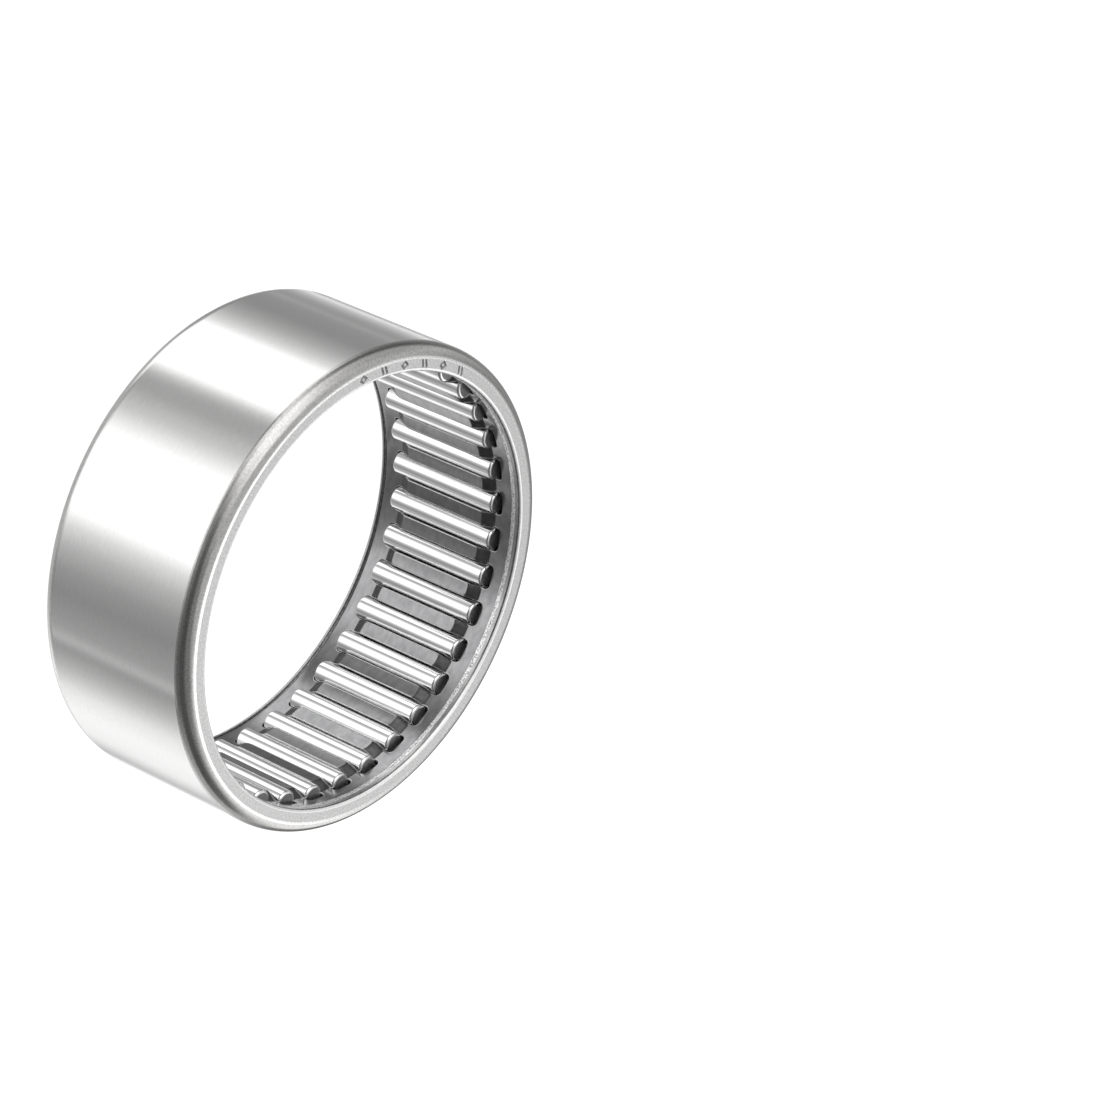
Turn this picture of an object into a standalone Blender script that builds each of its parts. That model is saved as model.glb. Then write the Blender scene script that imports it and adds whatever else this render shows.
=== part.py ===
"""Drawn-cup needle roller bearing, 45 mm bore, 52 mm outside diameter, 20 mm wide, open at both ends.

The hardened needles run straight on the shaft and inside a thin drawn cup. A sheet-steel cage spaces them:
its end rings and the ends of its bars lie out near the needles' centres, and the middle of every bar is
pressed in towards the shaft, where the pocket is narrower than a needle and keeps it from falling out.
The bearing's axis is Z, its middle plane is Z = 0 and its marked end face is at +Z.
"""

import math

import bmesh
import bpy

MM = 0.001

# Size of the bearing
BORE_RADIUS = 22.5 * MM  # the circle inside the needles, which is the shaft's radius
OUTSIDE_RADIUS = 26.0 * MM
WIDTH = 20.0 * MM

# Needles
NEEDLE_COUNT = 36
NEEDLE_RADIUS = 1.25 * MM
NEEDLE_LENGTH = 13.8 * MM
NEEDLE_CHAMFER = 0.2 * MM
NEEDLE_SHIFT = -0.1 * MM  # a needle's place along its pocket, from the cage's middle
RUNNING_GAP = 0.03 * MM  # between a needle and the raceway
RACEWAY_RADIUS = BORE_RADIUS + 2 * NEEDLE_RADIUS
PITCH_RADIUS = RACEWAY_RADIUS - RUNNING_GAP - NEEDLE_RADIUS
PITCH_ANGLE = 2 * math.pi / NEEDLE_COUNT

# Cup: the marked lip is the drawn bottom of the cup, the plain lip is rolled in after assembly
MARKED_LIP_THICKNESS = 1.2 * MM
MARKED_LIP_RADIUS = 23.15 * MM
MARKED_LIP_ROUNDING = 0.35 * MM
MARKED_CORNER_RADIUS = 1.5 * MM
PLAIN_LIP_THICKNESS = 0.8 * MM
PLAIN_LIP_RADIUS = 23.85 * MM
PLAIN_LIP_ROUNDING = 0.25 * MM
PLAIN_CORNER_RADIUS = 1.7 * MM
RACEWAY_FILLET = 0.25 * MM

# Cage: radii and half lengths of the sheet's inner surface, from the cage's own middle
SHEET = 0.7 * MM
CAGE_HALF_LENGTH = 8.9 * MM
CAGE_SHIFT = -0.2 * MM  # the cage rests towards the plain lip
BAR_MIDDLE_RADIUS = 22.95 * MM
BAR_MIDDLE_HALF_LENGTH = 5.3 * MM
RING_RADIUS = 23.65 * MM
RING_START = 6.42 * MM
RING_EDGE = 0.12 * MM  # the ring's ends are tumbled to this rounding
POCKET_HALF_LENGTH = 7.3 * MM
POCKET_CORNER = 0.5 * MM
POCKET_SIDE_GAP = 0.033 * MM

# Facets
CUP_STEPS = 72
CAGE_STEPS = 72
NEEDLE_STEPS = 12
CORNER_STEPS = 3
EDGE_STEPS = 2
SHARP_EDGE = math.radians(35)
MERGE_DISTANCE = 0.00001


def arc(centre_radius, centre_height, radius, start_degrees, end_degrees, steps):
    """Points (radius, height) along an arc; 0 degrees points away from the axis and 90 up."""
    points = []
    for i in range(steps + 1):
        angle = math.radians(start_degrees + (end_degrees - start_degrees) * i / steps)
        points.append((centre_radius + radius * math.cos(angle), centre_height + radius * math.sin(angle)))
    return points


def cup_profile():
    """The cup's closed section, down its outside and back up its inside."""
    top = WIDTH / 2
    bottom = -WIDTH / 2
    corner = MARKED_CORNER_RADIUS
    points = arc(OUTSIDE_RADIUS - corner, top - corner, corner, 90, 0, CORNER_STEPS)
    corner = PLAIN_CORNER_RADIUS
    points += arc(OUTSIDE_RADIUS - corner, bottom + corner, corner, 0, -90, CORNER_STEPS)
    rounding = PLAIN_LIP_ROUNDING
    centre = PLAIN_LIP_RADIUS + rounding
    inside = bottom + PLAIN_LIP_THICKNESS
    points += arc(centre, bottom + rounding, rounding, -90, -180, EDGE_STEPS)
    points += arc(centre, inside - rounding, rounding, 180, 90, EDGE_STEPS)
    fillet = RACEWAY_FILLET
    points += arc(RACEWAY_RADIUS - fillet, inside + fillet, fillet, -90, 0, 1)
    inside = top - MARKED_LIP_THICKNESS
    points += arc(RACEWAY_RADIUS - fillet, inside - fillet, fillet, 0, 90, 1)
    rounding = MARKED_LIP_ROUNDING
    centre = MARKED_LIP_RADIUS + rounding
    points += [(centre, inside), (MARKED_LIP_RADIUS, inside)]
    points += arc(centre, top - rounding, rounding, 180, 90, EDGE_STEPS)
    return points


def unit(x, y):
    length = math.hypot(x, y)
    return (x / length, y / length)


def thickened(path, thickness):
    """The far side of a sheet whose near side, towards the axis, is this path run downwards."""
    far_side = []
    for i in range(1, len(path) - 1):
        into = unit(path[i][0] - path[i - 1][0], path[i][1] - path[i - 1][1])
        out_of = unit(path[i + 1][0] - path[i][0], path[i + 1][1] - path[i][1])
        normal = unit(-into[1] - out_of[1], into[0] + out_of[0])
        mitre = normal[1] * into[0] - normal[0] * into[1]
        reach = thickness / mitre
        far_side.append((path[i][0] + normal[0] * reach, path[i][1] + normal[1] * reach))
    return far_side


def cage_profile():
    """The cage's closed section, down its outer side and back up its inner side."""
    inner = RING_RADIUS
    outer = RING_RADIUS + SHEET
    end = CAGE_HALF_LENGTH
    edge = RING_EDGE
    formed = [(inner, RING_START), (BAR_MIDDLE_RADIUS, BAR_MIDDLE_HALF_LENGTH)]
    formed += [(radius, -height) for radius, height in reversed(formed)]
    inner_side = [(inner, end - edge)] + formed + [(inner, edge - end)]
    upper_outer = [(inner + edge, end), (outer - edge, end), (outer, end - edge)]
    lower_outer = [(radius, -height) for radius, height in reversed(upper_outer)]
    return upper_outer + thickened(inner_side, SHEET) + lower_outer + inner_side[::-1]


def needle_profile():
    half = NEEDLE_LENGTH / 2
    edge = NEEDLE_RADIUS - NEEDLE_CHAMFER
    upper = [(0, half), (edge, half), (NEEDLE_RADIUS, half - NEEDLE_CHAMFER)]
    lower = [(radius, -height) for radius, height in reversed(upper)]
    return upper + lower


def make_material(name, colour, roughness, metallic=1.0):
    material = bpy.data.materials.new(name)
    material.use_nodes = True
    shader = material.node_tree.nodes["Principled BSDF"]
    shader.inputs["Base Color"].default_value = (*colour, 1)
    shader.inputs["Roughness"].default_value = roughness
    shader.inputs["Metallic"].default_value = metallic
    material.diffuse_color = (*colour, 1)
    return material


def make_object(name, mesh, collection):
    thing = bpy.data.objects.new(name, mesh)
    collection.objects.link(thing)
    return thing


def profile_mesh(name, points, material, closed):
    """A section in the XZ plane as a chain of edges, which a Screw turns about Z."""
    count = len(points)
    edges = [(i, (i + 1) % count) for i in range(count if closed else count - 1)]
    mesh = bpy.data.meshes.new(name)
    mesh.from_pydata([(radius, 0, height) for radius, height in points], edges, [])
    mesh.materials.append(material)
    return mesh


def turn(thing, steps):
    screw = thing.modifiers.new("turn", "SCREW")
    screw.steps = steps
    screw.render_steps = steps
    screw.use_merge_vertices = True
    screw.merge_threshold = MERGE_DISTANCE
    screw.use_smooth_shade = True


def smooth_by_angle(thing):
    """Applies the modifiers, so that edges sharper than the limit can be marked."""
    graph = bpy.context.evaluated_depsgraph_get()
    mesh = bpy.data.meshes.new_from_object(thing.evaluated_get(graph))
    mesh.name = thing.data.name
    thing.modifiers.clear()
    thing.data = mesh
    mesh.shade_smooth()
    mesh.set_sharp_from_angle(angle=SHARP_EDGE)


def is_radial(edge):
    first, second = edge.verts
    return abs(first.co.x - second.co.x) > MM


def pocket_cutter_mesh():
    """All the pockets: their sides lie in planes through the bearing's axis and their corners are rounded."""
    spread = math.tan(math.asin((NEEDLE_RADIUS + POCKET_SIDE_GAP) / PITCH_RADIUS))
    shape = bmesh.new()
    bmesh.ops.create_cube(shape, size=2)
    for corner in shape.verts:
        radius = OUTSIDE_RADIUS if corner.co.x > 0 else BORE_RADIUS
        corner.co = (radius, corner.co.y * radius * spread, corner.co.z * POCKET_HALF_LENGTH)
    radial = [edge for edge in shape.edges if is_radial(edge)]
    bmesh.ops.bevel(shape, geom=radial, offset=POCKET_CORNER, segments=EDGE_STEPS, profile=0.5, affect="EDGES")
    everything = shape.verts[:] + shape.edges[:] + shape.faces[:]
    bmesh.ops.spin(shape, geom=everything, axis=(0, 0, 1), cent=(0, 0, 0), use_duplicate=True,
                   angle=2 * math.pi - PITCH_ANGLE, steps=NEEDLE_COUNT - 1)
    mesh = bpy.data.meshes.new("pockets")
    shape.to_mesh(mesh)
    shape.free()
    return mesh


def make_pocket_cutter(collection):
    cutter = make_object("pockets", pocket_cutter_mesh(), collection)
    cutter.hide_render = True
    cutter.display_type = "WIRE"
    return cutter


def make_cup(collection):
    steel = make_material("ground_steel", (0.78, 0.78, 0.77), 0.28)
    cup = make_object("drawn_cup", profile_mesh("drawn_cup", cup_profile(), steel, True), collection)
    turn(cup, CUP_STEPS)
    smooth_by_angle(cup)
    return cup


def make_cage(collection, cutters):
    steel = make_material("cage_steel", (0.45, 0.45, 0.46), 0.38)
    cage = make_object("needle_cage", profile_mesh("needle_cage", cage_profile(), steel, True), collection)
    turn(cage, CAGE_STEPS)
    cut = cage.modifiers.new("pockets", "BOOLEAN")
    cut.operation = "DIFFERENCE"
    cut.solver = "EXACT"
    cut.object = make_pocket_cutter(cutters)
    smooth_by_angle(cage)
    cage.location.z = CAGE_SHIFT
    return cage


def make_needles(collection, cage):
    """Each needle's origin is on its own axis, and the cage carries it round."""
    steel = make_material("polished_steel", (0.86, 0.86, 0.86), 0.12)
    first = make_object("needle_01", profile_mesh("needle", needle_profile(), steel, False), collection)
    turn(first, NEEDLE_STEPS)
    smooth_by_angle(first)
    for i in range(NEEDLE_COUNT):
        needle = first if i == 0 else make_object(f"needle_{i + 1:02d}", first.data, collection)
        angle = i * PITCH_ANGLE
        needle.parent = cage
        needle.location = (PITCH_RADIUS * math.cos(angle), PITCH_RADIUS * math.sin(angle), NEEDLE_SHIFT)


def main():
    for thing in list(bpy.data.objects):
        bpy.data.objects.remove(thing)
    parts = bpy.data.collections.new("needle_roller_bearing")
    cutters = bpy.data.collections.new("cutters")
    for collection in (parts, cutters):
        bpy.context.scene.collection.children.link(collection)
    make_cup(parts)
    cage = make_cage(parts, cutters)
    make_needles(parts, cage)


main()
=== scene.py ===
"""Drawn-cup needle roller bearing: its detailed look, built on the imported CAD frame.

The bearing's axis is Z and its marked end face is up. The cup, the cage and the needles are each
replaced by a finer piece with the same size and place: rolled corners, a sheared lip edge, eased
pocket edges and rounded needle ends. Lengths in the geometry are in millimetres until a mesh is
made.
"""

import math

import bmesh
import bpy
import numpy as np
from mathutils import Euler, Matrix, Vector


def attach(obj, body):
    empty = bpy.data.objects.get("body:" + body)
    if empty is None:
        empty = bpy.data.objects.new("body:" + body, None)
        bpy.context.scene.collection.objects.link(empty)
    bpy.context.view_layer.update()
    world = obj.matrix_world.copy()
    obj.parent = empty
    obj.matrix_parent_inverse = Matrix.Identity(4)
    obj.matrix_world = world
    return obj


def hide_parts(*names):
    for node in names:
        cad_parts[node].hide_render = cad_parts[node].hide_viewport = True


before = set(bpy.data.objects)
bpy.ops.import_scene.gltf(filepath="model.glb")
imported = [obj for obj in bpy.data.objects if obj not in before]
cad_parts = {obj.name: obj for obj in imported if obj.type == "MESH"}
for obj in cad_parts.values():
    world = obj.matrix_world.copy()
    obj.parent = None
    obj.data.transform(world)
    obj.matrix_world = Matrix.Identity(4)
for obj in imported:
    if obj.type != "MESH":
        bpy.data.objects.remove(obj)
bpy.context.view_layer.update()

MM = 0.001
SHARP_ANGLE = 50  # edges that turn by more than this many degrees stay sharp

# Cup, as in the CAD model
OUTSIDE_RADIUS = 26.0
HALF_WIDTH = 10.0
RACEWAY_RADIUS = 25.0
MARKED_CORNER = 1.5
MARKED_LIP_THICKNESS = 1.2
MARKED_LIP_RADIUS = 23.15
MARKED_LIP_EDGE = 0.35
PLAIN_CORNER = 1.7
PLAIN_LIP_THICKNESS = 0.8
PLAIN_LIP_RADIUS = 23.85
PLAIN_LIP_EDGE = 0.25
RACEWAY_FILLET = 0.25

# Cup, finer than the CAD model
PLAIN_LIP_NOSE = 0.55  # the rolled-in lip rounds over further on its inner face
BURNISH_START = 9.28  # the lip's inner wall is burnished above this height and torn below it
TORN_LEAST = 0.01
TORN_SPREAD = 0.05
FLAT_MARGIN = 0.06  # keeps the shading of a rounding off the flat beside it
COARSE_STEP = 0.75  # degrees between the cup's columns
FINE_STEP = 0.12  # and where the marks are

# Marks pressed into the end face: six, in turn a pair of slanted bars and a diamond, each drawn
# as strokes from point to point
MARK_COUNT = 6
MARK_DEPTH = 0.1
MARK_HALF_WIDTH = 0.1
MARK_SLOPE_START = 0.4  # share of the half width that is flat at the bottom of a stroke
MARK_MIDDLE_ANGLE = 194.5
MARK_SPACING = 7.2
MARK_REACH = 3.2 * MARK_SPACING
MARK_RADIUS = 23.98
DIAMOND = [
    ((-0.42, 0), (0, 0.36)),
    ((0, 0.36), (0.42, 0)),
    ((0.42, 0), (0, -0.36)),
    ((0, -0.36), (-0.42, 0)),
]
BARS = [((-0.42, -0.34), (-0.12, 0.34)), ((0.12, -0.34), (0.42, 0.34))]

# Cage, as in the CAD model: radii and heights of the sheet's inner surface
SHEET = 0.7
CAGE_SHIFT = -0.2
CAGE_HALF_LENGTH = 8.9
RING_RADIUS = 23.65
RING_START = 6.42
BAR_RADIUS = 22.95
BAR_HALF_LENGTH = 5.3
POCKET_HALF_LENGTH = 7.3
POCKET_HALF_ANGLE = math.asin(1.283 / 23.72)
POCKET_CORNER = 0.5

# Cage, finer than the CAD model
RING_EDGE = 0.12
POCKET_EDGE = 0.1  # the pocket's edges are tumbled to this rounding
BEND = 0.16  # half the length over which the sheet's bends are spread
BAR_CORNER = 0.45  # the formed middle of a bar has corners this round
WELD = 0.0005  # points of neighbouring cells closer than this are one

# Needles, as in the CAD model
NEEDLE_COUNT = 36
NEEDLE_RADIUS = 1.25
NEEDLE_HALF_LENGTH = 6.9
NEEDLE_EDGE = 0.28  # a little rounder than in the CAD model
NEEDLE_SIDES = 48
NEEDLE_SHIFT = -0.3
PITCH_RADIUS = 23.72
PITCH_ANGLE = 2 * math.pi / NEEDLE_COUNT

# The cage's cell for one pocket is laid out flat at this radius
ACROSS = 23.0
BAR_HALF_WIDTH = (PITCH_ANGLE / 2 - POCKET_HALF_ANGLE) * ACROSS

# Camera and studio
CAMERA_PLACE = (-0.040688, -0.376132, 0.286326)
CAMERA_TURN = (-29.9522, -49.4021, 122.6953)
CAMERA_LENS = 153.513
CAMERA_SIDE = -94.5  # the studio's panels are measured from this direction, in degrees
FLOOR_HALF_SIZE = 4.0
BRIGHTEST = 2.0  # the brightness that a ramp's white stands for
BELOW = 0.55 / BRIGHTEST  # straight under the bearing


def arc(centre_radius, centre_height, radius, start, end, steps):
    """Points (radius, height) along an arc; 0 degrees points away from the axis and 90 up."""
    points = []
    for a in np.radians(np.linspace(start, end, steps + 1)):
        points.append((centre_radius + radius * math.cos(a), centre_height + radius * math.sin(a)))
    return points


def build(name, points, faces, materials, face_materials):
    """A smooth mesh object with sharp edges, from points in millimetres."""
    mesh = bpy.data.meshes.new(name)
    mesh.from_pydata([(x * MM, y * MM, z * MM) for x, y, z in points], [], faces)
    for material in materials:
        mesh.materials.append(material)
    mesh.polygons.foreach_set("material_index", face_materials)
    mesh.validate()
    mesh.shade_smooth()
    mesh.set_sharp_from_angle(angle=math.radians(SHARP_ANGLE))
    thing = bpy.data.objects.new(name, mesh)
    bpy.context.scene.collection.objects.link(thing)
    return thing


# ---------------------------------------------------------------- node helpers


def add(tree, kind, links=None, **settings):
    """A node; links gives each input a socket to read or a value."""
    node = tree.nodes.new(kind)
    for key, value in settings.items():
        setattr(node, key, value)
    for key, value in (links or {}).items():
        if isinstance(value, bpy.types.NodeSocket):
            tree.links.new(value, node.inputs[key])
        else:
            node.inputs[key].default_value = value
    return node


def maths(tree, operation, first, second):
    return add(tree, "ShaderNodeMath", {0: first, 1: second}, operation=operation).outputs[0]


def rescale(tree, value, old_low, old_high, low, high):
    links = {
        "Value": value,
        "From Min": old_low,
        "From Max": old_high,
        "To Min": low,
        "To Max": high,
    }
    return add(tree, "ShaderNodeMapRange", links).outputs["Result"]


def noise(tree, scale):
    """Noise over the object, with its own scale (per metre) along X, Y and Z."""
    place = add(tree, "ShaderNodeTexCoord").outputs["Object"]
    stretched = add(tree, "ShaderNodeVectorMath", {0: place, 1: scale}, operation="MULTIPLY")
    vector = stretched.outputs["Vector"]
    links = {"Vector": vector, "Scale": 1.0, "Detail": 3.0, "Roughness": 0.55}
    return add(tree, "ShaderNodeTexNoise", links, noise_dimensions="3D").outputs["Fac"]


def mix(tree, factor, first, second):
    """A blend of two colours; they are sockets 6 and 7 of the node, and the result is 2."""
    return add(tree, "ShaderNodeMix", {0: factor, 6: first, 7: second}, data_type="RGBA").outputs[2]


def steel(name, colours, colour_noise, roughness, roughness_noise, grain=None, anisotropic=0.0):
    """Bare steel.

    A noise is (scale, low, high), and grain is (scale, depth in millimetres, strength).
    """
    material = bpy.data.materials.new(name)
    material.use_nodes = True
    tree = material.node_tree
    shader = tree.nodes["Principled BSDF"]
    shader.inputs["Metallic"].default_value = 1.0
    shader.inputs["Anisotropic"].default_value = anisotropic
    scale, low, high = colour_noise
    share = rescale(tree, noise(tree, scale), low, high, 0.0, 1.0)
    dark, light = [(*colour, 1) for colour in colours]
    tree.links.new(mix(tree, share, dark, light), shader.inputs["Base Color"])
    scale, low, high = roughness_noise
    gloss = rescale(tree, noise(tree, scale), low, high, *roughness)
    tree.links.new(gloss, shader.inputs["Roughness"])
    if anisotropic:
        # ground round the axis, so gloss spreads along Z and stays sharp round the bearing
        shader.inputs["Anisotropic Rotation"].default_value = 0.25
        tangent = add(tree, "ShaderNodeTangent", None, direction_type="RADIAL", axis="Z")
        tree.links.new(tangent.outputs[0], shader.inputs["Tangent"])
    if grain:
        scale, depth, strength = grain
        links = {"Height": noise(tree, scale), "Distance": depth * MM, "Strength": strength}
        bump = add(tree, "ShaderNodeBump", links)
        tree.links.new(bump.outputs["Normal"], shader.inputs["Normal"])
    return material


def ramp(tree, factor, stops):
    """Brightness by direction; stops are (degrees from the camera's side, brightness)."""
    node = add(tree, "ShaderNodeValToRGB", {"Fac": factor})
    elements = node.color_ramp.elements
    while len(elements) < len(stops):
        elements.new(0.5)
    for element, (angle, value) in zip(elements, stops):
        element.position = (angle + 180) / 360
        shade = value / BRIGHTEST
        element.color = (shade, shade, shade, 1)
    return node.outputs["Color"]


# ---------------------------------------------------------------- materials

ground = steel(
    "ground_steel",
    ((0.77, 0.77, 0.765), (0.81, 0.81, 0.805)),
    ((1500, 1500, 9000), 0.35, 0.65),
    (0.11, 0.15),
    ((900, 900, 9000), 0.3, 0.7),
    ((1500, 1500, 14000), 0.001, 0.12),
    anisotropic=0.9,
)
corner = steel(
    "rolled_corner_steel",
    ((0.44, 0.435, 0.43), (0.55, 0.545, 0.54)),
    ((4000, 4000, 5000), 0.35, 0.65),
    (0.12, 0.18),
    ((3000, 3000, 5000), 0.3, 0.7),
    ((5000, 5000, 6000), 0.003, 0.2),
    anisotropic=0.5,
)
plain_corner = steel(
    "drawn_corner_steel",
    ((0.66, 0.66, 0.655), (0.76, 0.76, 0.755)),
    ((2500, 2500, 5000), 0.35, 0.65),
    (0.12, 0.18),
    ((2000, 2000, 5000), 0.3, 0.7),
    anisotropic=0.5,
)
ridge = steel(
    "lip_ridge_steel",
    ((0.62, 0.62, 0.62), (0.85, 0.85, 0.845)),
    ((5000, 5000, 5000), 0.35, 0.65),
    (0.14, 0.24),
    ((3000, 3000, 3000), 0.3, 0.7),
)
stamped = steel(
    "stamped_steel",
    ((0.16, 0.16, 0.16), (0.3, 0.3, 0.3)),
    ((5000, 5000, 5000), 0.3, 0.7),
    (0.36, 0.48),
    ((3000, 3000, 3000), 0.3, 0.7),
)
# dark steel on the rolled-in inner face of the plain lip: painted shade for the shadow on that
# curved edge
nose_shade_steel = steel(
    "lip_nose_painted_shade_steel",
    ((0.14, 0.14, 0.14), (0.26, 0.26, 0.26)),
    ((2500, 2500, 5000), 0.35, 0.65),
    (0.25, 0.35),
    ((1500, 1500, 5000), 0.3, 0.7),
)
lip = steel(
    "tumbled_lip_steel",
    ((0.44, 0.44, 0.44), (0.66, 0.66, 0.655)),
    ((5000, 5000, 5000), 0.3, 0.7),
    (0.36, 0.48),
    ((3000, 3000, 3000), 0.3, 0.7),
    ((7000, 7000, 7000), 0.02, 0.4),
)
sheared = steel(
    "sheared_edge_steel",
    ((0.35, 0.35, 0.35), (0.98, 0.98, 0.98)),
    ((6000, 6000, 6000), 0.35, 0.58),
    (0.25, 0.4),
    ((4000, 4000, 4000), 0.3, 0.7),
    ((6000, 6000, 6000), 0.05, 0.7),
)
burnished = steel(
    "burnished_edge_steel",
    ((0.3, 0.3, 0.3), (0.5, 0.5, 0.495)),
    ((1200, 1200, 20000), 0.35, 0.65),
    (0.16, 0.3),
    ((800, 800, 9000), 0.3, 0.7),
    ((800, 800, 14000), 0.01, 0.3),
)
# near white steel on the rounding of the marked lip's inner edge: its colour is a painted highlight
eased = steel(
    "eased_edge_painted_highlight_steel",
    ((0.88, 0.88, 0.88), (0.98, 0.98, 0.975)),
    ((3000, 3000, 3000), 0.35, 0.65),
    (0.42, 0.52),
    ((3000, 3000, 3000), 0.3, 0.7),
)
inside = steel(
    "raceway_steel",
    ((0.8, 0.8, 0.8), (0.88, 0.88, 0.88)),
    ((600, 600, 6000), 0.35, 0.65),
    (0.25, 0.35),
    ((600, 600, 6000), 0.35, 0.65),
)
cage_steel = steel(
    "cage_sheet_steel",
    ((0.24, 0.24, 0.245), (0.32, 0.32, 0.325)),
    ((900, 900, 1500), 0.3, 0.7),
    (0.1, 0.18),
    ((2500, 2500, 1200), 0.3, 0.7),
    ((4000, 4000, 5000), 0.002, 0.2),
    anisotropic=0.6,
)
# near black steel on the sheet's bends: painted shade for the shadow on their steep slopes
bend_shade_steel = steel(
    "cage_bend_painted_shade_steel",
    ((0.085, 0.085, 0.085), (0.14, 0.14, 0.14)),
    ((1500, 1500, 1500), 0.3, 0.7),
    (0.45, 0.55),
    ((2500, 2500, 2500), 0.3, 0.7),
)
# brighter steel on the pocket's rounded edges: a painted highlight
edge_highlight_steel = steel(
    "cage_edge_painted_highlight_steel",
    ((0.5, 0.5, 0.5), (0.7, 0.7, 0.7)),
    ((3000, 3000, 3000), 0.3, 0.7),
    (0.3, 0.4),
    ((2500, 2500, 2500), 0.3, 0.7),
)
needle_steel = steel(
    "needle_steel",
    ((0.84, 0.84, 0.84), (0.9, 0.9, 0.9)),
    ((3000, 3000, 500), 0.3, 0.7),
    (0.08, 0.14),
    ((4000, 4000, 800), 0.3, 0.7),
)
needle_end_steel = steel(
    "needle_end_steel",
    ((0.4, 0.4, 0.4), (0.55, 0.55, 0.55)),
    ((4000, 4000, 4000), 0.3, 0.7),
    (0.4, 0.5),
    ((4000, 4000, 4000), 0.3, 0.7),
)


# ---------------------------------------------------------------- turned pieces


def turned(name, section, angles, materials, move):
    """Turns a closed section round Z.

    The section is (radius, height, material number) down its outer side and back up its inner
    side. move shifts the points, given arrays of their angles, radii and heights.
    """
    rows = len(section)
    columns = len(angles)
    angle = np.repeat(np.radians(angles), rows).reshape(columns, rows)
    radius = np.tile([p[0] for p in section], (columns, 1)).astype(float)
    height = np.tile([p[1] for p in section], (columns, 1)).astype(float)
    radius, height = move(angle, radius, height)
    points = np.stack([radius * np.cos(angle), radius * np.sin(angle), height], -1).reshape(-1, 3)
    i = np.arange(columns)[:, None]
    j = np.arange(rows)[None, :]
    across = (i + 1) % columns
    along = (j + 1) % rows
    corners = (i * rows + j, i * rows + along, across * rows + along, across * rows + j)
    faces = np.stack(corners, -1).reshape(-1, 4)
    numbers = np.tile([p[2] for p in section], columns)
    return build(name, points.tolist(), faces.tolist(), materials, numbers.tolist())


# the cup's steels, and the zones of its section by their numbers in that list
CUP_STEELS = [
    ground, corner, lip, sheared, burnished, eased, inside, ridge, stamped, nose_shade_steel, plain_corner
]
GROUND, CORNER, LIP, SHEARED, BURNISHED, EASED_HIGHLIGHT, INSIDE, RIDGE, STAMPED, NOSE_SHADE, UNDER_CORNER = range(
    len(CUP_STEELS)
)


def tagged(points, zone):
    return [(radius, height, zone) for radius, height in points]


def cup_section():
    """The cup's outline, from the marked end's corner round to its end face."""
    top = HALF_WIDTH
    near = FLAT_MARGIN
    corner_radius = OUTSIDE_RADIUS - MARKED_CORNER
    rounded = arc(corner_radius, top - MARKED_CORNER, MARKED_CORNER, 90, 0, 24)
    section = tagged(rounded[:3], RIDGE) + tagged(rounded[3:-1], CORNER)
    high = top - MARKED_CORNER
    low = PLAIN_CORNER - top
    straight = [high, high - near, 4, 0, -4, low + near]
    section += tagged([(OUTSIDE_RADIUS, height) for height in straight], GROUND)
    corner_radius = OUTSIDE_RADIUS - PLAIN_CORNER
    section += tagged(arc(corner_radius, low, PLAIN_CORNER, 0, -90, 16), UNDER_CORNER)
    inner = PLAIN_LIP_RADIUS + PLAIN_LIP_EDGE
    low = PLAIN_LIP_EDGE - top
    high = PLAIN_LIP_THICKNESS - top
    section += tagged([(corner_radius - near, -top), (inner + near, -top)], LIP)
    section += tagged(arc(inner, low, PLAIN_LIP_EDGE, -90, -180, 6), LIP)
    nose_middle = (PLAIN_LIP_RADIUS + PLAIN_LIP_NOSE, high - PLAIN_LIP_NOSE)
    # the lip's rolled-in nose takes the painted shade
    section += tagged(arc(*nose_middle, PLAIN_LIP_NOSE, 180, 90, 8), NOSE_SHADE)[1:]
    turn = RACEWAY_RADIUS - RACEWAY_FILLET
    section += tagged(arc(turn, high + RACEWAY_FILLET, RACEWAY_FILLET, -90, 0, 3), INSIDE)
    under = top - MARKED_LIP_THICKNESS
    section += tagged(arc(turn, under - RACEWAY_FILLET, RACEWAY_FILLET, 0, 90, 3), INSIDE)
    # the lip's inner wall: torn below, burnished above, and rounded into the end face
    torn = np.linspace(under, BURNISH_START, 8)
    section += tagged([(MARKED_LIP_RADIUS, height) for height in torn], SHEARED)
    edge = top - MARKED_LIP_EDGE
    smooth = [BURNISH_START + 0.03, BURNISH_START + 0.1, (BURNISH_START + edge) / 2, edge - 0.04]
    section += tagged([(MARKED_LIP_RADIUS, height) for height in smooth], BURNISHED)
    face_start = MARKED_LIP_RADIUS + MARKED_LIP_EDGE
    rounded = arc(face_start, edge, MARKED_LIP_EDGE, 180, 90, 10)
    # the outer part of the rounding gets the painted highlight
    section += tagged(rounded[:4], BURNISHED) + tagged(rounded[4:-1], EASED_HIGHLIGHT)
    face_end = OUTSIDE_RADIUS - MARKED_CORNER
    flat = np.linspace(face_start, face_end - near, 24)
    section += tagged([(radius, top) for radius in flat], LIP)
    return section


def stroke_distance(across, along, start, end):
    """How far places on the end face are from one stroke."""
    run, rise = end[0] - start[0], end[1] - start[1]
    share = ((across - start[0]) * run + (along - start[1]) * rise) / (run * run + rise * rise)
    share = np.clip(share, 0, 1)
    return np.hypot(across - start[0] - share * run, along - start[1] - share * rise)


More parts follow.
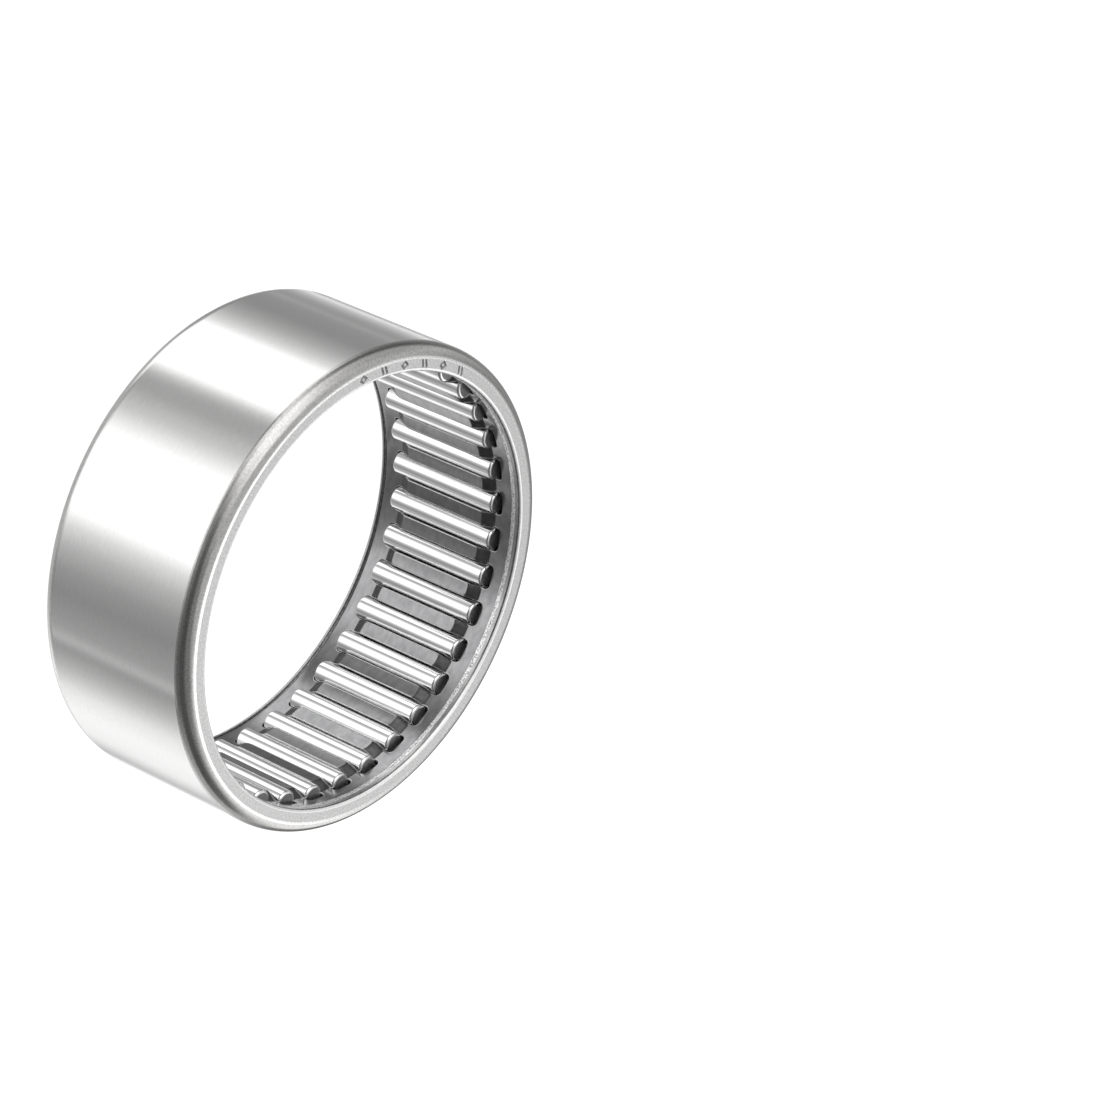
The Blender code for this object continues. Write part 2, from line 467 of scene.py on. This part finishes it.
def cup_move(angle, radius, height):
    """Presses the marks into the end face and roughens the torn wall."""
    rng = np.random.default_rng(7)
    pressed = np.zeros_like(radius)
    for k in range(MARK_COUNT):
        place = k - (MARK_COUNT - 1) / 2
        middle = math.radians(MARK_MIDDLE_ANGLE + place * MARK_SPACING)
        across = (angle - middle) * radius
        along = radius - MARK_RADIUS
        for start, end in (BARS, DIAMOND)[k % 2]:
            past = stroke_distance(across, along, start, end) / MARK_HALF_WIDTH - MARK_SLOPE_START
            pressed = np.maximum(pressed, np.clip(1 - past, 0, 1))
    on_face = np.isclose(height, HALF_WIDTH) & (radius < OUTSIDE_RADIUS - MARKED_CORNER)
    height = height - np.where(on_face, pressed * MARK_DEPTH, 0)
    torn = np.isclose(radius, MARKED_LIP_RADIUS) & (height < BURNISH_START - 0.01) & (height > 0)
    rough = rng.random(radius.shape) * TORN_SPREAD + TORN_LEAST
    return radius + np.where(torn, rough, 0), height


coarse = np.arange(0, 360, COARSE_STEP)
coarse = coarse[np.abs(coarse - MARK_MIDDLE_ANGLE) > MARK_REACH]
fine = np.arange(MARK_MIDDLE_ANGLE - MARK_REACH, MARK_MIDDLE_ANGLE + MARK_REACH, FINE_STEP)
cup_angles = np.unique(np.concatenate([coarse, fine]))
cup = turned("cup", cup_section(), cup_angles, CUP_STEELS, cup_move)
# the bottoms of the marks, sunk at least half way and far above the plain end, are darker
for face in cup.data.polygons:
    sunk = HALF_WIDTH - face.center.z / MM
    if face.material_index == LIP and MARK_DEPTH / 2 < sunk < MARK_DEPTH * 3:
        face.material_index = STAMPED
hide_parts("drawn_cup")
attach(cup, "cup")


def needle_section():
    """The outline of a needle's upper half, from its end face to its middle."""
    end = NEEDLE_HALF_LENGTH
    face = NEEDLE_RADIUS - NEEDLE_EDGE
    near = FLAT_MARGIN / 2
    rounded = arc(face, end - NEEDLE_EDGE, NEEDLE_EDGE, 90, 0, 6)
    side = [(NEEDLE_RADIUS, end - NEEDLE_EDGE - near), (NEEDLE_RADIUS, 0)]
    return [(face - near, end)] + rounded + side


def needle_mesh(name):
    """A needle about its own axis: rounded into flat ends."""
    upper = needle_section()
    lower = [(radius, -height) for radius, height in reversed(upper[:-1])]
    side = upper + lower
    middles = [(0, 0, NEEDLE_HALF_LENGTH), (0, 0, -NEEDLE_HALF_LENGTH)]
    points = list(middles)
    for i in range(NEEDLE_SIDES):
        angle = 2 * math.pi * i / NEEDLE_SIDES
        c, s = math.cos(angle), math.sin(angle)
        points += [(radius * c, radius * s, height) for radius, height in side]
    rows = len(side)
    faces = []
    for i in range(NEEDLE_SIDES):
        first = len(middles) + i * rows
        second = len(middles) + (i + 1) % NEEDLE_SIDES * rows
        faces.append((0, first, second))
        for j in range(rows - 1):
            faces.append((first + j, first + j + 1, second + j + 1, second + j))
        faces.append((1, second + rows - 1, first + rows - 1))
    # the faces that start at the middle of an end are the end faces
    on_end = [int(face[0] < len(middles)) for face in faces]
    return build(name, points, faces, [needle_steel, needle_end_steel], on_end)


first_needle = needle_mesh("roller_01")
for i in range(NEEDLE_COUNT):
    roller = first_needle
    if i:
        roller = bpy.data.objects.new(f"roller_{i + 1:02d}", first_needle.data)
        bpy.context.scene.collection.objects.link(roller)
    angle = i * PITCH_ANGLE
    place = Vector((PITCH_RADIUS * math.cos(angle), PITCH_RADIUS * math.sin(angle), NEEDLE_SHIFT))
    roller.location = place * MM
    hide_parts(f"needle_{i + 1:02d}")
    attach(roller, f"needle_{i + 1:02d}")


# ---------------------------------------------------------------- cage


def sheet_radius(across, height):
    """Radius of the sheet's inner surface, with its bends spread over a short length."""
    from_middle = PITCH_ANGLE / 2 * ACROSS - np.abs(across)
    past = np.clip(from_middle - BAR_HALF_WIDTH + BAR_CORNER, 0, BAR_CORNER)
    early = BAR_CORNER - np.sqrt(BAR_CORNER**2 - past**2)

    def area(x):
        return np.clip(x, 0, 1) ** 2 / 2 + np.maximum(x - 1, 0)

    slope_length = RING_START - BAR_HALF_LENGTH
    x = (np.abs(height) + early - BAR_HALF_LENGTH) / slope_length
    spread = BEND / slope_length
    share = (area(x + spread) - area(x - spread)) / (2 * spread)
    return BAR_RADIUS + (RING_RADIUS - BAR_RADIUS) * share


def cage_points(across, height, depth):
    """Points of the cage from places on its flat cell and a depth below its inner surface."""
    step = 0.001
    slope = (sheet_radius(across, height + step) - sheet_radius(across, height - step)) / (2 * step)
    length = np.hypot(1, slope)
    radius = sheet_radius(across, height) + depth / length
    angle = across / ACROSS
    z = height - depth * slope / length + CAGE_SHIFT
    return np.stack([radius * np.cos(angle), radius * np.sin(angle), z], -1)


def pocket_outline():
    """The pocket's outline anticlockwise.

    Gives arrays of its points, their outward directions and the places on the cell's edge that
    they are joined to.
    """
    half_across = POCKET_HALF_ANGLE * ACROSS
    edge_across = PITCH_ANGLE / 2 * ACROSS
    edge_height = CAGE_HALF_LENGTH - RING_EDGE
    centre = (half_across - POCKET_CORNER, POCKET_HALF_LENGTH - POCKET_CORNER)
    rows = []
    # few points along the straight, and more round the sheet's two bends
    straight = np.linspace(0, 4.9, 4)
    bends = [np.linspace(5.08, 5.52, 5), np.linspace(6.2, 6.64, 5)]
    for height in np.concatenate([straight, *bends]):
        rows.append((half_across, height, 1, 0, edge_across, height))
    to_corner = math.atan2(edge_height - centre[1], edge_across - centre[0])
    for turn in sorted([*np.radians(np.linspace(0, 90, 7)), to_corner]):
        c, s = math.cos(turn), math.sin(turn)
        sideways = (edge_across - centre[0]) / max(c, 1e-9)
        endways = (edge_height - centre[1]) / max(s, 1e-9)
        reach = min(sideways, endways)
        point = (centre[0] + POCKET_CORNER * c, centre[1] + POCKET_CORNER * s)
        rows.append((*point, c, s, centre[0] + reach * c, centre[1] + reach * s))
    for across in (centre[0] * 0.5, 0):
        rows.append((across, POCKET_HALF_LENGTH, 0, 1, across, edge_height))
    quarter = np.array(rows)
    flip_across = np.array([-1, 1] * 3)
    flip_height = np.array([1, -1] * 3)
    half = np.concatenate([quarter, quarter[-2::-1] * flip_across])
    whole = np.concatenate([half, half[-2:0:-1] * flip_height])
    return whole[:, 0:2], whole[:, 2:4], whole[:, 4:6]


CAGE_STEELS = [cage_steel, bend_shade_steel, edge_highlight_steel]
SHEET_STEEL, SHADED_BEND, EDGE_HIGHLIGHT = range(len(CAGE_STEELS))


def cage_cell():
    """Points of the cage round one pocket, its faces and their steels.

    Loops of points run from the cell's edge in to the pocket over the inner surface, and back out
    over the outer one.
    """
    outline, outward, edge = pocket_outline()
    count = len(outline)
    shares = (1, 0.6, 0.25, 0)  # how far towards the cell's edge the loops on the flat sheet lie
    beside = POCKET_EDGE + 0.04
    loops = [(outline + outward * beside) * (1 - m) + edge * m for m in shares]
    depths = [0] * len(shares)
    quarter_turn = np.radians(np.linspace(0, 90, 5))
    for turn in quarter_turn:
        loops.append(outline + outward * POCKET_EDGE * (1 - math.sin(turn)))
        depths.append(POCKET_EDGE * (1 - math.cos(turn)))
    loops += loops[::-1]
    depths += [SHEET - depth for depth in depths[::-1]]
    points = [cage_points(loop[:, 0], loop[:, 1], depth) for loop, depth in zip(loops, depths)]
    faces = []
    steels = []
    flats = len(shares) - 1
    for k in range(len(loops) - 1):
        for i in range(count):
            j = (i + 1) % count
            first, second = k * count, (k + 1) * count
            faces.append((first + i, first + j, second + j, second + i))
            height = abs(loops[k][i, 1] + loops[k][j, 1]) / 2
            # faces on the sheet's bends get the painted shade
            bend_shaded = BAR_HALF_LENGTH - BEND < height < RING_START + BEND
            # a painted highlight: the pocket's long walls and, at its ends, the inner edge get a
            # brighter steel
            on_side = abs(outward[i, 0] * outward[j, 0]) > 0.5
            last = len(loops) - flats - 1 if on_side else flats + len(quarter_turn) - 1
            highlighted = flats < k < last
            steels.append(EDGE_HIGHLIGHT if highlighted else SHADED_BEND if bend_shaded else SHEET_STEEL)
    # the ring's two ends, rounded at both edges
    at_end = np.abs(np.abs(edge[:, 1]) - (CAGE_HALF_LENGTH - RING_EDGE)) < 1e-9
    total = sum(len(p) for p in points)
    strip = []
    for turn in quarter_turn:
        strip.append((RING_EDGE * (1 - math.cos(turn)), RING_EDGE * math.sin(turn)))
    strip += [(SHEET - depth, past) for depth, past in strip[::-1]]
    for depth, past in strip:
        height = edge[:, 1] + np.sign(edge[:, 1]) * past
        points.append(cage_points(edge[:, 0], height, depth))
    for k in range(len(strip) - 1):
        for i in range(count):
            j = (i + 1) % count
            if at_end[i] and at_end[j]:
                first, second = total + k * count, total + (k + 1) * count
                faces.append((first + i, first + j, second + j, second + i))
                steels.append(SHEET_STEEL)
    return np.concatenate(points), faces, steels


def cage_mesh():
    """The cage: its cell repeated round the axis and welded."""
    cell, cell_faces, cell_steels = cage_cell()
    points = []
    faces = []
    for k in range(NEEDLE_COUNT):
        c, s = math.cos(k * PITCH_ANGLE), math.sin(k * PITCH_ANGLE)
        turned_cell = cell @ np.array([[c, s, 0], [-s, c, 0], [0, 0, 1]])
        start = len(cell) * k
        points.append(turned_cell)
        faces += [tuple(v + start for v in face) for face in cell_faces]
    steels = cell_steels * NEEDLE_COUNT
    thing = build("cage", np.concatenate(points).tolist(), faces, CAGE_STEELS, steels)
    shape = bmesh.new()
    shape.from_mesh(thing.data)
    bmesh.ops.remove_doubles(shape, verts=shape.verts[:], dist=WELD * MM)
    loose = [vertex for vertex in shape.verts if not vertex.link_faces]
    bmesh.ops.delete(shape, geom=loose, context="VERTS")
    bmesh.ops.recalc_face_normals(shape, faces=shape.faces[:])
    shape.to_mesh(thing.data)
    shape.free()
    thing.data.set_sharp_from_angle(angle=math.radians(SHARP_ANGLE))
    return thing


cage = cage_mesh()
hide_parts("needle_cage")
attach(cage, "cage")


# ---------------------------------------------------------------- studio


def make_floor():
    """A pale table that glows a little, so that the bearing's shadow on it stays faint."""
    mesh = bpy.data.meshes.new("floor")
    size = FLOOR_HALF_SIZE
    low = -HALF_WIDTH * MM
    corners = [(-size, -size, low), (size, -size, low), (size, size, low), (-size, size, low)]
    mesh.from_pydata(corners, [], [(0, 1, 2, 3)])
    material = bpy.data.materials.new("pale_table")
    material.use_nodes = True
    shader = material.node_tree.nodes["Principled BSDF"]
    shader.inputs["Base Color"].default_value = (0.3, 0.3, 0.3, 1)
    shader.inputs["Roughness"].default_value = 0.9
    shader.inputs["Specular IOR Level"].default_value = 0.0
    shader.inputs["Emission Color"].default_value = (1, 1, 1, 1)
    shader.inputs["Emission Strength"].default_value = 0.95
    mesh.materials.append(material)
    floor = bpy.data.objects.new("floor", mesh)
    bpy.context.scene.collection.objects.link(floor)
    # the steel mirrors the studio's panels, and not the table
    floor.visible_glossy = False
    floor.visible_shadow = False


# Brightness of the studio round the bearing, in rows from low to high. A row is two heights,
# between which it takes over from the row below, and its stops: (degrees from the camera's side,
# brightness).
PANELS = [
    (-0.92, -0.8, [
        (-174, 0.98), (-164.5, 0.28), (-159.5, 1.25), (-156.5, 0.72), (-145, 0.385), (-138, 0.32),
        (-135.5, 0.5), (-132, 0.34), (-116, 0.31), (-105, 0.48), (-95, 0.85), (-88, 1.6),
        (-61, 1.5), (-55.5, 0.62), (-51, 0.42), (-44.5, 0.43), (-33, 0.72), (-18, 1.5), (16, 1.5),
        (25, 0.9), (34, 0.57), (45, 0.37), (56, 0.3), (74, 0.41), (78.5, 0.64), (82, 0.32),
        (95, 0.59), (108, 1.02), (122, 1.17), (140, 1.06), (157, 0.5), (166, 1.15),
    ]),
    (-0.46, -0.32, [
        (-180, 0.3), (-165, 0.38), (-150, 0.38), (-135, 0.28), (-120, 0.18), (-100, 0.18),
        (-85, 0.3), (-72, 0.8), (-58, 1.35), (-42, 1.5), (-28, 0.9), (-14, 0.42), (0, 0.42),
        (14, 0.38), (30, 0.24), (50, 0.17), (75, 0.2), (90, 0.42), (108, 0.65), (122, 0.65),
        (134, 0.75), (146, 0.3), (160, 0.18), (172, 0.18), (180, 0.25),
    ]),
    (-0.06, 0.12, [
        (-180, 0.5), (-166, 0.42), (-158, 0.44), (-150, 0.55), (-135, 0.78), (-120, 0.6),
        (-104, 0.62), (-90, 0.8), (-76, 1.2), (-62, 1.9), (-42, 1.9), (-28, 1.6), (-14, 0.65),
        (0, 0.25), (14, 0.16), (40, 0.12), (110, 0.14), (130, 0.25), (140, 0.8), (150, 1.45),
        (163, 1.6), (170, 0.9), (175, 0.45), (180, 0.5),
    ]),
    (0.48, 0.68, [
        (-180, 1.8), (-168, 0.9), (-150, 0.8), (-130, 0.72), (-110, 0.8), (-90, 1), (-75, 1.6),
        (-45, 1.8), (-30, 1.35), (-12, 0.9), (5, 0.6), (20, 0.35), (60, 0.3), (95, 0.3),
        (115, 0.4), (135, 0.85), (150, 1.3), (165, 2), (174, 2), (180, 1.8),
    ]),
    (0.86, 0.94, [(-180, 0.75), (180, 0.75)]),
]


def make_world():
    """Soft panels all round the bearing, and plain white behind it."""
    world = bpy.data.worlds.new("studio")
    bpy.context.scene.world = world
    world.use_nodes = True
    tree = world.node_tree
    tree.nodes.clear()
    way = add(tree, "ShaderNodeTexCoord").outputs["Generated"]
    x, y, z = add(tree, "ShaderNodeSeparateXYZ", {0: way}).outputs
    # the direction's angle round the bearing, from the camera's side
    side = math.radians(CAMERA_SIDE)
    c, s = math.cos(side), math.sin(side)
    x_along, y_along = maths(tree, "MULTIPLY", x, c), maths(tree, "MULTIPLY", y, s)
    x_aside, y_aside = maths(tree, "MULTIPLY", x, s), maths(tree, "MULTIPLY", y, c)
    towards = maths(tree, "ADD", x_along, y_along)
    aside = maths(tree, "SUBTRACT", y_aside, x_aside)
    turn = rescale(tree, maths(tree, "ARCTAN2", aside, towards), -math.pi, math.pi, 0.0, 1.0)
    colour = (BELOW, BELOW, BELOW, 1)
    for start, end, stops in PANELS:
        share = rescale(tree, z, start, end, 0.0, 1.0)
        colour = mix(tree, share, colour, ramp(tree, turn, stops))
    panels = add(tree, "ShaderNodeBackground", {"Color": colour, "Strength": BRIGHTEST})
    plain = add(tree, "ShaderNodeBackground", {"Color": (1, 1, 1, 1), "Strength": 1.0})
    seen = add(tree, "ShaderNodeLightPath").outputs["Is Camera Ray"]
    both = add(tree, "ShaderNodeMixShader", {0: seen, 1: panels.outputs[0], 2: plain.outputs[0]})
    output = add(tree, "ShaderNodeOutputWorld")
    tree.links.new(both.outputs[0], output.inputs["Surface"])


def make_camera():
    camera = bpy.data.objects.new("camera", bpy.data.cameras.new("camera"))
    bpy.context.scene.collection.objects.link(camera)
    camera.location = CAMERA_PLACE
    camera.rotation_euler = Euler([math.radians(a) for a in CAMERA_TURN])
    camera.data.lens = CAMERA_LENS
    camera.data.sensor_width = 36.0
    camera.data.clip_start = 0.01
    camera.data.clip_end = 20.0
    bpy.context.scene.camera = camera


make_floor()
make_world()
make_camera()
bpy.context.scene.view_settings.view_transform = "Standard"
